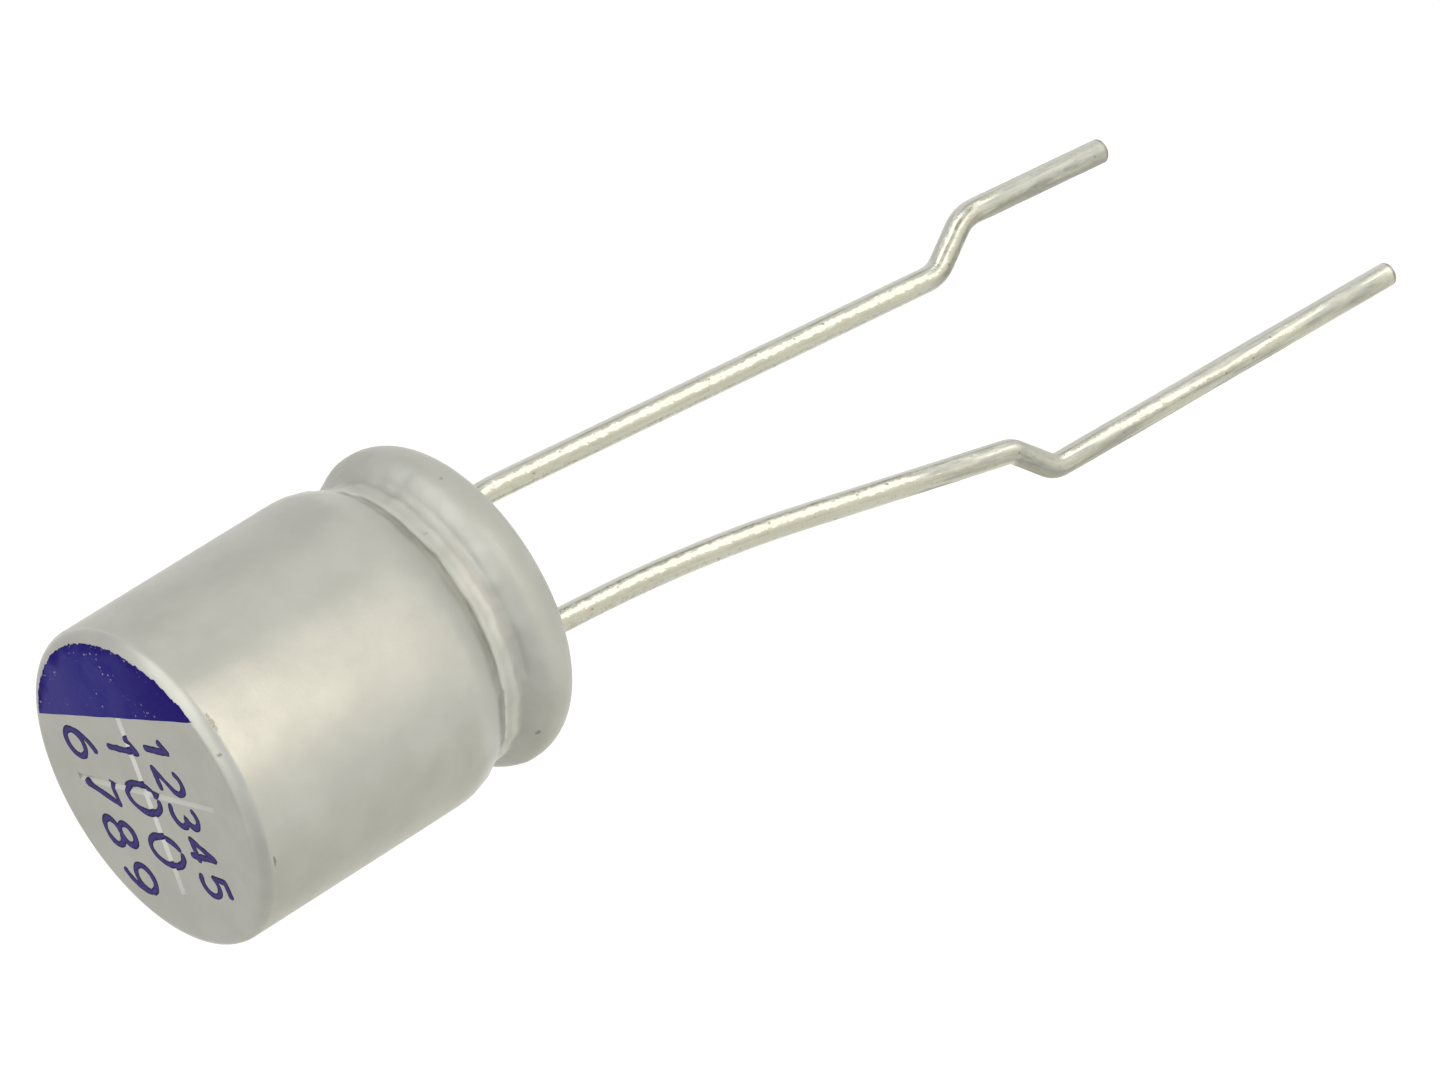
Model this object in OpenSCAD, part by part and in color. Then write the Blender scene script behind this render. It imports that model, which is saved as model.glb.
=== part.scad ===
// Radial hybrid capacitor: a beaded aluminium can closed by a rubber seal, a wound element
// hung on two tabs inside it, and two tinned wire leads that are formed with a kink.
// Sizes are in millimetres. Z = 0 is the plane on which the can's rim stands, the can rises
// from it, and the leads run down from it, side by side along X with the cathode at +X.

/* [Can] */
// Outside diameter of the can
can_d = 8; // [7:0.1:10]
// Height of the can from its seat to its closed end
can_h = 9.6; // [8.6:0.1:14]
// Thickness of the aluminium sheet
sheet_t = 0.3; // [0.2:0.02:0.36]
// Outside corner radius at the closed end
crown_r = 0.35; // [0.2:0.05:0.8]
// Inside corner radius at the closed end
crown_inner_r = 0.15; // [0.05:0.05:0.5]

/* [Bead and rim] */
// Depth of the rolled bead below the wall of the can
bead_depth = 0.4; // [0.3:0.05:0.7]
// Straight height of the neck at the root of the bead
bead_neck = 0.34; // [0.1:0.02:0.8]
// Outside radius of the curves at both ends of the neck
bead_root_r = 0.3; // [0.2:0.05:0.5]
// Outside radius of the shoulder above the bead
shoulder_r = 1.8; // [0.6:0.05:2.2]
// Outside radius of the rim's upper curve, towards the bead
rim_top_r = 0.65; // [0.5:0.05:0.9]
// Outside radius of the rim's lower curve, towards the seat
rim_r = 0.85; // [0.6:0.05:1.1]
// Straight height of the rim between its two curves
rim_straight = 0.05; // [0:0.01:0.4]
// Width of the flat ring on which the rim stands
seat_w = 0.15; // [0.05:0.05:0.3]
// Outside radius at which the sheet's edge curls into the seal
curl_r = 0.45; // [0.4:0.05:0.6]

/* [Vent] */
// Length of each score line of the pressure vent
vent_len = 5.3; // [2:0.1:6]
// Width of a score line at the surface
vent_w = 0.2; // [0.06:0.02:0.3]
// Depth of a score line
vent_depth = 0.06; // [0.02:0.01:0.15]
// Turn of the score cross away from the line of the leads
vent_turn = -6.6; // [-45:0.1:45]

/* [Seal] */
// Height of the seal above the neck of the bead
seal_rise = 1.25; // [0.9:0.05:1.9]
// Gap between the seal and each piece that it grips
seal_gap = 0.02; // [0:0.01:0.04]
// Chamfer at the mouth of each lead hole
mouth_chamfer = 0.12; // [0.05:0.01:0.3]

/* [Tabs] */
// Diameter of the round part of a tab
boss_d = 1.1; // [0.9:0.05:1.3]
// Height of the weld above the lower face of the seal
weld_rise = 0.55; // [0.3:0.05:1]
// Height of the taper from the wire to the full tab
weld_taper = 0.25; // [0.1:0.05:0.5]
// Height of the round part above the seal
boss_proud = 0.1; // [0.05:0.05:0.4]
// Height over which the round part is pressed flat
press_h = 0.6; // [0.4:0.05:1]
// Thickness of the flat part
paddle_t = 0.25; // [0.15:0.05:0.35]
// Width of the flat part
paddle_w = 1.6; // [1.2:0.1:2]
// Distance from the tip of the flat part to the upper end of the winding
paddle_short = 0.9; // [0.5:0.1:2]

/* [Winding] */
// Space between the winding and the closed end of the can
head_space = 0.35; // [0.2:0.05:1]
// Space between the tape and the wall of the can
side_space = 0.15; // [0.05:0.05:0.3]
// Gap between the winding and the tabs and tape on it
winding_gap = 0.02; // [0.01:0.01:0.05]
// Thickness of the closing tape
tape_t = 0.06; // [0.03:0.01:0.1]
// Diameter of the core that the winding pin leaves
core_d = 1.2; // [0.8:0.1:1.6]
// Distance between neighbouring turns of separator
turn_pitch = 0.35; // [0.25:0.05:0.6]
// Thickness of the separator
separator_t = 0.1; // [0.05:0.01:0.15]
// Length of separator that stands out past the foil at each end
separator_out = 0.3; // [0.1:0.05:0.5]

/* [Leads] */
// Diameter of the lead wire
lead_d = 0.6; // [0.45:0.05:0.8]
// Distance between the two leads at the seal
lead_pitch = 3.5; // [2.8:0.1:3.8]
// Straight length of each lead below the seat
lead_stub = 1.35; // [1:0.05:3]
// Chamfer at the cut end of each lead
tip_chamfer = 0.06; // [0.02:0.01:0.2]
// Bend radius where a lead first leans
lean_r = 3.5; // [1:0.5:8]
// Thinning of the wire's radius where it is bent
bend_thin = 0.005; // [0.004:0.001:0.02]

/* [Cathode lead] */
// Angle at which the cathode lead leans towards the anode
cathode_lean = 5.6; // [0:0.1:7]
// Straight run from the lean to the kink
cathode_run = 12.8; // [8:0.1:16]
// Angle of the kink
cathode_kink = 40; // [10:1:60]
// Bend radius of the kink
cathode_kink_r = 0.9; // [0.5:0.1:2]
// Straight run between the two bends of the kink
cathode_kink_run = 0.9; // [0.2:0.1:3]
// Straight tail below the kink
cathode_tail = 4; // [2:0.1:12]

/* [Anode lead] */
// Angle at which the anode lead leans away from the cathode
anode_lean = 5; // [0:0.1:10]
// Straight run from the lean to the long sweep
anode_run = 1.25; // [0.5:0.05:3]
// Angle of the long sweep
anode_sweep = 8; // [1:0.5:15]
// Radius of the long sweep
anode_sweep_r = 43.5; // [20:0.5:80]
// Straight run from the sweep to the kink
anode_reach = 5.9; // [2:0.1:10]
// Angle of the first bend of the kink
anode_kink = 32; // [10:1:60]
// Angle of the second bend, which turns the tail back down
anode_return = 42.7; // [20:0.1:60]
// Bend radius of the kink
anode_kink_r = 0.6; // [0.4:0.1:2]
// Straight run between the two bends of the kink
anode_kink_run = 0.9; // [0.2:0.1:3]
// Straight tail below the kink
anode_tail = 10.7; // [4:0.1:16]

/* [Hidden] */
$fn = 96;

// Overshoot of a cutting shape past the face that it cuts
cut = 0.5;
// Length by which the thinned wire of a bend runs on inside the straight wire at each end
bend_lap = 0.05;
// Half width of the wedge that presses a tab flat, where it leaves the round part
press_half = 0.6 * boss_d;
can_r = can_d / 2;
lead_x = lead_pitch / 2;

// Centres of the bead's tangent arcs, of the rim and of the curl, as [radius, height]
rim_reach = rim_top_r + bead_root_r;
shoulder_reach = shoulder_r + bead_root_r;
neck_z = rim_r + rim_straight + sqrt(pow(rim_reach, 2) - pow(rim_reach - bead_depth, 2));
neck_top_z = neck_z + bead_neck;
shoulder_z = neck_top_z + sqrt(pow(shoulder_reach, 2) - pow(shoulder_reach - bead_depth, 2));
root_x = can_r - bead_depth + bead_root_r;
root_low_c = [root_x, neck_z];
root_top_c = [root_x, neck_top_z];
shoulder_c = [can_r - shoulder_r, shoulder_z];
rim_top_c = [can_r - rim_top_r, rim_r + rim_straight];
rim_low_c = [can_r - rim_r, rim_r];
curl_c = [can_r - rim_r - seat_w, curl_r];

// Heights of the seal, the tabs and the winding, from the seat upwards
seal_floor = sheet_t + seal_gap;
weld_z = seal_floor + weld_rise;
seal_top = neck_top_z + seal_rise;
boss_top = seal_top + boss_proud;
press_top = boss_top + press_h;
winding_low = press_top + winding_gap;
winding_high = can_h - sheet_t - head_space;
paddle_top = winding_high - paddle_short;

// Radii of the winding, from the wall of the can inwards
tape_r = can_r - sheet_t - side_space;
winding_r = tape_r - tape_t - winding_gap;
core_r = core_d / 2;

// The separator's spiral keeps a quarter of a turn clear of the core and of the outside
spiral_start = core_r + turn_pitch / 4;
spiral_turns = (winding_r - turn_pitch / 4 - separator_t - spiral_start) / turn_pitch;
spiral_steps = ceil(spiral_turns * 24);

// Formed leads, as [straight run, bend angle towards +X, bend radius] from the weld to the tip
cathode_form = [
    [weld_z + lead_stub, -cathode_lean, lean_r],
    [cathode_run, cathode_kink, cathode_kink_r],
    [cathode_kink_run, -cathode_kink, cathode_kink_r],
    [cathode_tail, 0, 0]
];
anode_form = [
    [weld_z + lead_stub, -anode_lean, lean_r],
    [anode_run, -anode_sweep, anode_sweep_r],
    [anode_reach, -anode_kink, anode_kink_r],
    [anode_kink_run, anode_return, anode_kink_r],
    [anode_tail, 0, 0]
];

// What lies outside a rounded corner of the given radius, in the quadrant of +X and +Y
module corner_void(r) {
    difference() {
        square(r + cut);
        circle(r);
    }
}

// The bead's hollow, between the shoulder and the rim, for a surface set in by inset
module bead_void(inset) {
    root_r = bead_root_r + inset;
    translate(root_low_c) circle(root_r);
    translate(root_top_c) circle(root_r);
    translate([root_x - root_r, neck_z]) square([root_r, bead_neck]);
    difference() {
        polygon([
            shoulder_c, root_top_c, root_low_c, rim_top_c,
            [can_r + cut, rim_top_c.y], [can_r + cut, shoulder_c.y]
        ]);
        translate(shoulder_c) circle(shoulder_r - inset);
        translate(rim_top_c) circle(rim_top_r - inset);
    }
}

// Half section of the can as if it were solid, with its surface set in by inset
module can_fill(inset, crown) {
    difference() {
        translate([0, inset]) square([can_r - inset, can_h - 2 * inset]);
        translate([can_r - inset - crown, can_h - inset - crown]) corner_void(crown);
        translate(rim_low_c) mirror([0, 1]) corner_void(rim_r - inset);
        bead_void(inset);
    }
}

// Half section of the quarter turn at the sheet's edge, thickened by grow on each side
module curl_section(grow) {
    intersection() {
        translate([curl_c.x - curl_r - grow, -grow]) square([curl_r + grow, curl_r + 2 * grow]);
        translate(curl_c) difference() {
            circle(curl_r + grow);
            circle(curl_r - sheet_t - grow);
        }
    }
}

module can_section() {
    difference() {
        can_fill(0, crown_r);
        can_fill(sheet_t, crown_inner_r);
        square([curl_c.x, neck_z]);
    }
    curl_section(0);
}

// Deep-drawn cup: closed end up, rolled bead, rim curled into the seal, scored vent
module can() {
    color([0.76, 0.76, 0.73]) difference() {
        rotate_extrude() can_section();
        for (turn = [0, 90])
            translate([0, 0, can_h]) rotate([0, 0, vent_turn + turn]) score_line();
    }
}

// V-shaped score along X, with its mouth at Z = 0
module score_line() {
    half = vent_w / 2;
    rotate([90, 0, 90]) linear_extrude(vent_len, center = true)
        polygon([[-half, 0], [-half, cut], [half, cut], [half, 0], [0, -vent_depth]]);
}

// Round part of a tab, from the weld up through the seal, thickened by grow
module tab_round(grow) {
    translate([0, 0, weld_z]) cylinder(d1 = lead_d + 2 * grow, d2 = boss_d + 2 * grow, h = weld_taper);
    translate([0, 0, weld_z + weld_taper])
        cylinder(d = boss_d + 2 * grow, h = boss_top - weld_z - weld_taper);
}

// Hole through the seal for one lead and its tab
module lead_hole() {
    hole_d = lead_d + 2 * seal_gap;
    cylinder(d = hole_d, h = weld_z);
    translate([0, 0, seal_floor])
        cylinder(d1 = hole_d + 2 * mouth_chamfer, d2 = hole_d, h = mouth_chamfer);
    tab_round(seal_gap);
}

// Rubber plug squeezed by the bead at its waist and by the curl at its lower edge
module seal() {
    color([0.13, 0.13, 0.13]) difference() {
        rotate_extrude() difference() {
            intersection() {
                can_fill(sheet_t + seal_gap, crown_inner_r);
                square([can_r, seal_top]);
            }
            curl_section(seal_gap);
        }
        for (side = [-1, 1])
            translate([side * lead_x, 0, 0]) lead_hole();
    }
}

// One point of the separator's spiral, at an angle and at a depth into its thickness
function spiral_point(angle, depth) =
    let (r = spiral_start + depth + turn_pitch * angle / 360)
    [r * cos(angle), r * sin(angle)];

module separator_spiral() {
    step = 360 * spiral_turns / spiral_steps;
    polygon(concat(
        [for (i = [0:spiral_steps]) spiral_point(i * step, 0)],
        [for (i = [spiral_steps:-1:0]) spiral_point(i * step, separator_t)]
    ));
}

// Wound element: foils as one roll, separator standing out at both ends, pockets for the tabs
module winding() {
    pocket_t = paddle_t + 2 * winding_gap;
    pocket_w = paddle_w + 2 * winding_gap;
    color([0.62, 0.58, 0.5]) difference() {
        union() {
            translate([0, 0, winding_low + separator_out])
                cylinder(r = winding_r, h = winding_high - winding_low - 2 * separator_out);
            translate([0, 0, winding_low])
                linear_extrude(winding_high - winding_low) separator_spiral();
        }
        translate([0, 0, winding_low - cut]) cylinder(r = core_r, h = winding_high - winding_low + 2 * cut);
        for (side = [-1, 1])
            translate([side * lead_x - pocket_t / 2, -pocket_w / 2, winding_low - cut])
                cube([pocket_t, pocket_w, paddle_top + winding_gap - winding_low + cut]);
    }
}

// Tape that closes the roll, round the foil's full height
module winding_tape() {
    color([0.82, 0.66, 0.32]) translate([0, 0, winding_low + separator_out]) rotate_extrude()
        translate([tape_r - tape_t, 0])
            square([tape_t, winding_high - winding_low - 2 * separator_out]);
}

// Aluminium tab: round where the seal grips it, pressed to a flat paddle in the winding
module tab() {
    tab_round(0);
    translate([0, 0, boss_top]) intersection() {
        cylinder(d1 = boss_d, d2 = paddle_w, h = press_h);
        rotate([90, 0, 0]) linear_extrude(paddle_w + boss_d, center = true)
            polygon([[-press_half, 0], [press_half, 0], [paddle_t / 2, press_h], [-paddle_t / 2, press_h]]);
    }
    translate([-paddle_t / 2, -paddle_w / 2, press_top])
        cube([paddle_t, paddle_w, paddle_top - press_top]);
}

module anode_tab() {
    color([0.8, 0.8, 0.78]) translate([-lead_x, 0, 0]) tab();
}

module cathode_tab() {
    color([0.8, 0.8, 0.78]) translate([lead_x, 0, 0]) tab();
}

// Arc of wire that starts along +Z and turns towards +X, lapped into the runs at its ends
module wire_arc(angle, r) {
    lap = bend_lap / r * 180 / PI;
    translate([r, 0, 0]) rotate([90, 0, 180]) rotate([0, 0, -lap])
        rotate_extrude(angle = angle + 2 * lap)
            translate([r, 0]) circle(d = lead_d - 2 * bend_thin);
}

// Wire that follows a form along +Z, one run and one bend at a time, and ends in a chamfered tip
module formed_wire(form, i = 0) {
    run = form[i][0];
    turn = form[i][1];
    r = form[i][2];
    if (i == len(form) - 1) {
        cylinder(d = lead_d, h = run - tip_chamfer);
        translate([0, 0, run - tip_chamfer])
            cylinder(d1 = lead_d, d2 = lead_d - 2 * tip_chamfer, h = tip_chamfer);
    } else {
        cylinder(d = lead_d, h = run);
        translate([0, 0, run]) {
            if (turn < 0)
                mirror([1, 0, 0]) wire_arc(-turn, r);
            else
                wire_arc(turn, r);
            translate([sign(turn) * r * (1 - cos(turn)), 0, r * sin(abs(turn))])
                rotate([0, turn, 0]) formed_wire(form, i + 1);
        }
    }
}

module anode_lead() {
    color([0.8, 0.79, 0.71]) translate([-lead_x, 0, weld_z]) rotate([180, 0, 0]) formed_wire(anode_form);
}

module cathode_lead() {
    color([0.8, 0.79, 0.71]) translate([lead_x, 0, weld_z]) rotate([180, 0, 0]) formed_wire(cathode_form);
}

can();
seal();
winding();
winding_tape();
anode_tab();
cathode_tab();
anode_lead();
cathode_lead();
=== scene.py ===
import math

import bmesh
import bpy
from mathutils import Matrix, Vector, noise


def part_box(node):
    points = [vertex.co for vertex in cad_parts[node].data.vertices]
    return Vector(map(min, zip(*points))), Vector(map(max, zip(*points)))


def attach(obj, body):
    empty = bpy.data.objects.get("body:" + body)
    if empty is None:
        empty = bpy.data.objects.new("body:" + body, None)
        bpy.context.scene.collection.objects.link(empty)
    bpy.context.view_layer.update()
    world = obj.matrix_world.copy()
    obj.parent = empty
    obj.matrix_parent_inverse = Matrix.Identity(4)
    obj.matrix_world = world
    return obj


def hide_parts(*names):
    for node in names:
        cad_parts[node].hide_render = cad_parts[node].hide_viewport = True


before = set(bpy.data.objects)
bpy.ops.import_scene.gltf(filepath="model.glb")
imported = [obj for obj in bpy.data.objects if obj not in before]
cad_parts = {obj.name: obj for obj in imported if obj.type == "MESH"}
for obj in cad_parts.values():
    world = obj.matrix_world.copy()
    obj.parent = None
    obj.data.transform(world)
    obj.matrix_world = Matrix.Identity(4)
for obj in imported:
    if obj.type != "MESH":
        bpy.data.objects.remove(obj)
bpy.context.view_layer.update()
mm = 0.001
print("frame loaded with", len(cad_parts), "nodes")


# Node helpers
def put(tree, kind, feeds=None, **settings):
    node = tree.nodes.new(kind)
    for key, value in settings.items():
        setattr(node, key, value)
    for key, value in (feeds or {}).items():
        if isinstance(value, bpy.types.NodeSocket):
            tree.links.new(value, node.inputs[key])
        else:
            node.inputs[key].default_value = value
    return node


def calc(tree, operation, *values):
    return put(tree, "ShaderNodeMath", dict(enumerate(values)), operation=operation).outputs[0]


def product(tree, first, *others):
    for other in others:
        first = calc(tree, "MULTIPLY", first, other)
    return first


def vectorCalc(tree, operation, *values):
    node = put(tree, "ShaderNodeVectorMath", dict(enumerate(values)), operation=operation)
    return node.outputs["Value" if operation in ("LENGTH", "DOT_PRODUCT") else "Vector"]


def joinAxes(tree, x=0.0, y=0.0, z=0.0):
    return put(tree, "ShaderNodeCombineXYZ", {0: x, 1: y, 2: z}).outputs[0]


def splitAxes(tree, vector):
    return put(tree, "ShaderNodeSeparateXYZ", {0: vector}).outputs


def stretched(tree, vector, across, along):   # scaled alike in X and Y, and apart in Z
    return vectorCalc(tree, "MULTIPLY", vector, (across, across, along))


def fade(tree, value, start, end, low=0.0, high=1.0):   # smooth step from low to high
    feeds = {"Value": value, "From Min": start, "From Max": end, "To Min": low, "To Max": high}
    return put(tree, "ShaderNodeMapRange", feeds, interpolation_type="SMOOTHSTEP").outputs["Result"]


def blendValue(tree, factor, first, second):
    return put(tree, "ShaderNodeMix", {0: factor, 2: first, 3: second}).outputs[0]


def blendColour(tree, factor, first, second):
    node = put(tree, "ShaderNodeMix", {0: factor}, data_type="RGBA")
    for index, value in ((6, first), (7, second)):
        if isinstance(value, bpy.types.NodeSocket):
            tree.links.new(value, node.inputs[index])
        else:
            node.inputs[index].default_value = (*value, 1.0)
    return node.outputs[2]


def newGroup(name, kind, inputs, outputs):   # sockets by label, each with its kind or its first value
    tree = bpy.data.node_groups.new(name, kind)
    for way, sockets in (("INPUT", inputs), ("OUTPUT", outputs)):
        for label, value in sockets.items():
            named = isinstance(value, str)
            socketKind = value if named else type(value).__name__.capitalize()
            socket = tree.interface.new_socket(label, in_out=way, socket_type="NodeSocket" + socketKind)
            if not named:
                socket.default_value = value
    return tree, tree.nodes.new("NodeGroupInput").outputs, tree.nodes.new("NodeGroupOutput").inputs


# Shader effects that several finishes share, on coordinates in millimetres
effectSettings = {
    "grainRange": (0.3, 0.7), "grainDetail": 3.0,   # the noise values that become low and high
    "pitWarp": 0.08, "pitDetail": 2.0, "pitCore": 0.4,   # how far a pit's edge strays, and its full middle
}


def makeGrainGroup(effect):
    tree, given, result = newGroup(
        "fineGrain", "ShaderNodeTree",
        {"Place": "Vector", "Size": 0.1, "Low": 0.0, "High": 1.0}, {"Shade": "Float"})
    scale = calc(tree, "DIVIDE", 1.0, given["Size"])
    cloud = put(tree, "ShaderNodeTexNoise",
                {"Vector": given["Place"], "Scale": scale, "Detail": effect["grainDetail"]}).outputs["Fac"]
    shade = fade(tree, cloud, *effect["grainRange"], given["Low"], given["High"])
    tree.links.new(shade, result["Shade"])
    return tree


def makePitGroup(effect):
    tree, given, result = newGroup(
        "scatteredPits", "ShaderNodeTree",
        {"Place": "Vector", "Spacing": 0.3, "Reach": 0.3, "Share": 0.2}, {"Mask": "Float"})
    scale = calc(tree, "DIVIDE", 1.0, given["Spacing"])
    cloud = put(tree, "ShaderNodeTexNoise",
                {"Vector": given["Place"], "Scale": scale, "Detail": effect["pitDetail"]}).outputs["Color"]
    warp = stretched(tree, cloud, effect["pitWarp"], effect["pitWarp"])
    spot = vectorCalc(tree, "ADD", given["Place"], warp)
    cells = put(tree, "ShaderNodeTexVoronoi", {"Vector": spot, "Scale": scale})
    core = product(tree, given["Reach"], effect["pitCore"])
    dot = fade(tree, cells.outputs["Distance"], given["Reach"], core)
    pick = put(tree, "ShaderNodeSeparateColor", {"Color": cells.outputs["Color"]}).outputs[0]
    chosen = calc(tree, "LESS_THAN", pick, given["Share"])
    tree.links.new(product(tree, dot, chosen), result["Mask"])
    return tree


grainGroup = makeGrainGroup(effectSettings)
pitGroup = makePitGroup(effectSettings)


def grain(tree, spot, size, low=0.0, high=1.0):
    feeds = {"Place": spot, "Size": size, "Low": low, "High": high}
    return put(tree, "ShaderNodeGroup", feeds, node_tree=grainGroup).outputs["Shade"]


def pits(tree, spot, spacing, reach, share):
    feeds = {"Place": spot, "Spacing": spacing, "Reach": reach, "Share": share}
    return put(tree, "ShaderNodeGroup", feeds, node_tree=pitGroup).outputs["Mask"]


def carried(tree, label, output):   # what a piece's mesh carries in an attribute
    return put(tree, "ShaderNodeAttribute", attribute_name=label).outputs[output]


def axisDistance(tree, spot):
    return vectorCalc(tree, "LENGTH", stretched(tree, spot, 1.0, 0.0))


def newFinish(name, metallic=0.0):
    material = bpy.data.materials.new(name)
    material.use_nodes = True
    tree = material.node_tree
    shader = tree.nodes["Principled BSDF"]
    shader.inputs["Metallic"].default_value = metallic
    spot = put(tree, "ShaderNodeTexCoord").outputs["Object"]
    return material, tree, shader, stretched(tree, spot, 1 / mm, 1 / mm)


def coat(tree, shader, colour, roughness, height=None, depth=0.0):
    tree.links.new(colour, shader.inputs["Base Color"])
    tree.links.new(roughness, shader.inputs["Roughness"])
    if height is not None:
        bump = put(tree, "ShaderNodeBump", {"Height": height, "Distance": depth})
        tree.links.new(bump.outputs["Normal"], shader.inputs["Normal"])


# Piece helpers
def addObject(name, data):
    obj = bpy.data.objects.new(name, data)
    bpy.context.scene.collection.objects.link(obj)
    return obj


def chainObject(name, chains, **attributes):   # loose edge chains that a node tree then works on
    mesh = bpy.data.meshes.new(name)
    points = [point for chain in chains for point in chain]
    edges = []
    first = 0
    for chain in chains:
        edges += [(first + i, first + i + 1) for i in range(len(chain) - 1)]
        first += len(chain)
    mesh.from_pydata(points, edges, [])
    for label, values in attributes.items():
        mesh.attributes.new(label, "FLOAT", "POINT").data.foreach_set("value", values)
    return addObject(name, mesh)


def growPiece(name, source, tree, sizes):   # runs a node tree on the source and keeps the plain mesh
    modifier = source.modifiers.new(tree.name, "NODES")
    modifier.node_group = tree
    for item in tree.interface.items_tree:
        if item.in_out == "INPUT" and item.name in sizes:
            modifier[item.identifier] = sizes[item.name]
    graph = bpy.context.evaluated_depsgraph_get()
    mesh = bpy.data.meshes.new_from_object(
        source.evaluated_get(graph), preserve_all_data_layers=True, depsgraph=graph)
    source.modifiers.clear()
    bpy.data.objects.remove(source)
    return finishPiece(name, mesh)


def finishPiece(name, mesh, sharpAngle=35):
    shape = bmesh.new()
    shape.from_mesh(mesh)
    bmesh.ops.remove_doubles(shape, verts=shape.verts, dist=1e-8)
    bmesh.ops.recalc_face_normals(shape, faces=shape.faces)
    shape.to_mesh(mesh)
    shape.free()
    mesh.name = name
    mesh.shade_smooth()
    mesh.set_sharp_from_angle(angle=math.radians(sharpAngle))
    return addObject(name, mesh)


def placePiece(piece, slotName, *nodes):
    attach(piece, "root")
    if nodes:
        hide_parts(*nodes)
    print("placed", piece.name, "with", len(piece.data.polygons), "faces")


def position(tree):
    return put(tree, "GeometryNodeInputPosition").outputs[0]


def namedValue(tree, kind, label):
    return put(tree, "GeometryNodeInputNamedAttribute", {"Name": label}, data_type=kind).outputs[0]


def storeVector(tree, geometry, label, value):
    feeds = {"Geometry": geometry, "Name": label, "Value": value}
    return put(tree, "GeometryNodeStoreNamedAttribute", feeds, data_type="FLOAT_VECTOR").outputs[0]


def dress(tree, given, result, geometry):   # every tree ends in plain, coated geometry
    whole = put(tree, "GeometryNodeRealizeInstances", {0: geometry}).outputs[0]
    coated = put(tree, "GeometryNodeSetMaterial", {"Geometry": whole, "Material": given["Material"]})
    tree.links.new(coated.outputs[0], result["Geometry"])
    return tree


# Camera at the photograph's angle
cameraSettings = {   # degrees, metres, pixels of the photograph, and the lens in millimetres
    "azimuth": 18.0, "elevation": 27.0, "roll": 122.07,
    "distance": 236.8 * mm, "aim": (0.0, 0.0, 5.0 * mm),
    "aimPixel": (302.3, 694.0), "imageSize": (1440, 1080),
    "lens": 264.375, "sensor": 36.0, "clip": (0.005, 10.0),
}


def makeCamera(setup):
    elevation = math.radians(setup["elevation"])
    roll = math.radians(setup["roll"])
    turn = Matrix.Rotation(math.radians(setup["azimuth"]), 3, "Z")
    back = turn @ Vector((0, -math.cos(elevation), math.sin(elevation)))
    side = turn @ Vector((1, 0, 0))
    rise = turn @ Vector((0, math.sin(elevation), math.cos(elevation)))
    right = math.cos(roll) * side - math.sin(roll) * rise
    up = math.sin(roll) * side + math.cos(roll) * rise
    width, height = setup["imageSize"]
    focal = setup["lens"] / setup["sensor"] * width
    aimX, aimY = setup["aimPixel"]
    look = (-focal * back + (width / 2 - aimX) * right + (aimY - height / 2) * up).normalized()
    right = (right - right.dot(look) * look).normalized()
    up = (-look).cross(right)
    data = bpy.data.cameras.new("photoCamera")
    data.lens = setup["lens"]
    data.sensor_width = setup["sensor"]
    data.clip_start, data.clip_end = setup["clip"]
    camera = addObject("photoCamera", data)
    pose = Matrix((right, up, -look)).transposed().to_4x4()
    pose.translation = Vector(setup["aim"]) + setup["distance"] * back
    camera.matrix_world = pose
    bpy.context.scene.camera = camera


makeCamera(cameraSettings)
print("camera set")

# Light tent: a pale world, a floor far below the leads, and soft panels and boards round the part
studioSettings = {   # degrees and millimetres, apart from the floor in metres
    "sky": (1.11, 1.11, 1.10),
    "skyShades": {   # azimuth, elevation, cosines at which the shade starts and is full, colour
        "skylight": (25, 66, (0.9, 0.99), (1.46, 1.45, 1.40)),
        "window": (78, 34, (0.73, 0.93), (1.76, 1.75, 1.69)),
        "overhead": (130, 72, (0.85, 0.99), (1.60, 1.60, 1.55)),
        "rightBack": (135, 20, (0.75, 0.95), (0.90, 0.90, 0.90)),
        "leftSide": (-85, 20, (0.45, 0.85), (0.77, 0.77, 0.74)),
        "behind": (198, 27, (0.6, 0.92), (0.85, 0.845, 0.81)),
    },
    "floorLevel": -0.5, "floorSize": 5.0, "floorShade": (0.97, 0.97, 0.965),
    "panels": {   # azimuth, reach and height, elevation it shines from, width, length, radiance, colour
        "keyCard": (25, 62, -10, -85, 56, 42, 1.25, (1.0, 0.86, 0.68)),
        "fillPanel": (-8, 178, -85, -27, 150, 140, 0.21, (1.0, 0.84, 0.64)),
        "leadCard": (34, 60, -58, -40, 66, 66, 1.15, (0.93, 0.95, 1.0)),
        "kinkCard": (44, 60, -10, 5, 76, 36, 1.2, (1.0, 1.0, 0.97)),
    },
    "leadPanels": ("leadCard", "kinkCard"),   # these shine on the leads alone
    "boards": {   # dimmer than the panels and placed as they are, with their colours
        "leftCard": (-100, 30, -8.4, -27, 56, 14, (0.74, 0.73, 0.69)),
        "leftHigh": (-105, 30, 5, 0, 44, 12, (0.66, 0.66, 0.63)),
        "rightCard": (140, 30, -8.4, -27, 44, 14, (0.90, 0.90, 0.90)),
    },
    "boardMottle": 0.99, "boardMottleSize": 40.0,
}
leadLight = bpy.data.collections.new("leadLight")


def outward(azimuth, elevation):   # unit vector, azimuth turning from -Y towards +X
    turn, rise = math.radians(azimuth), math.radians(elevation)
    return Vector((math.sin(turn) * math.cos(rise), -math.cos(turn) * math.cos(rise), math.sin(rise)))


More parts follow.
